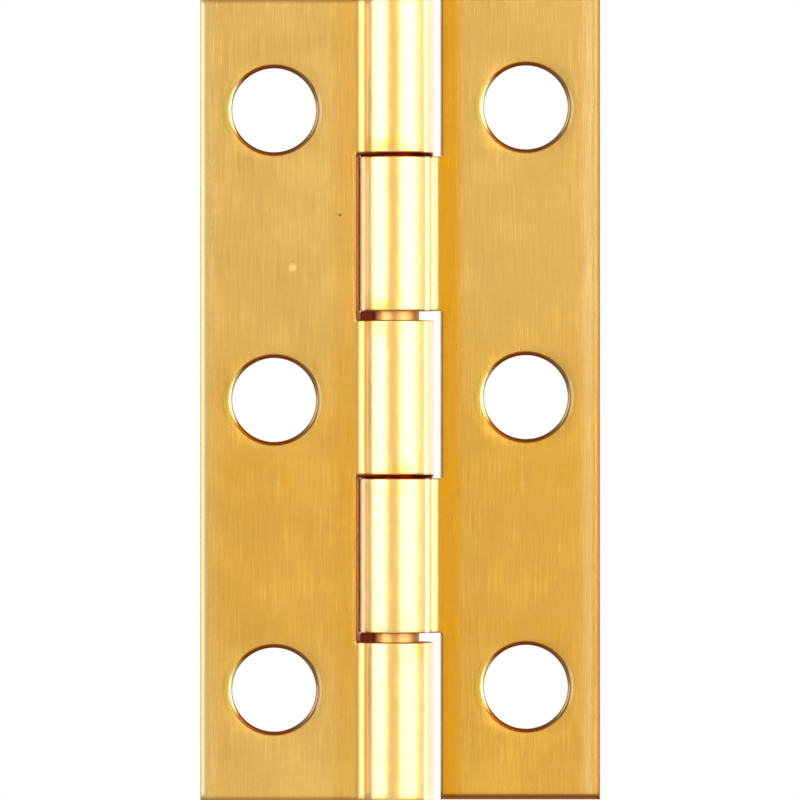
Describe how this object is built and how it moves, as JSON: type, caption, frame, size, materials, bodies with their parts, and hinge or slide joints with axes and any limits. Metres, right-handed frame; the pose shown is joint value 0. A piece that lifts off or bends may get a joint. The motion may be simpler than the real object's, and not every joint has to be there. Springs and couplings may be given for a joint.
{
  "type": "narrow butt hinge",
  "caption": "Narrow brass butt hinge with swaged leaves rolled round a plain pin, and round screw holes countersunk on the inner faces.",
  "frame": {"origin": "on the pin's axis, at mid-length of the fixed leaf, with the hinge flat open", "axes": "+Z along the pin, +X from the pin towards the moving leaf, +Y out of the countersunk faces"},
  "size_m": [0.0248, 0.0046, 0.0502],
  "materials": {
    "fixed_leaf": "satin, brushed along the leaf, with a polished barrel",
    "moving_leaf": "satin, brushed along the leaf, with a polished barrel",
    "pin": "polished"
  },
  "bodies": {
    "fixed_side": {"three_knuckle_leaf": "fixed_leaf", "hinge_pin": "pin"},
    "moving_side": {"two_knuckle_leaf": "moving_leaf"}
  },
  "joints": [
    {"name": "leaf_turn", "type": "hinge", "parent": "fixed_side", "child": "moving_side", "pos_m": [0, 0, 0], "axis": [0, 0, 1], "range_deg": [-135, 180]}
  ]
}
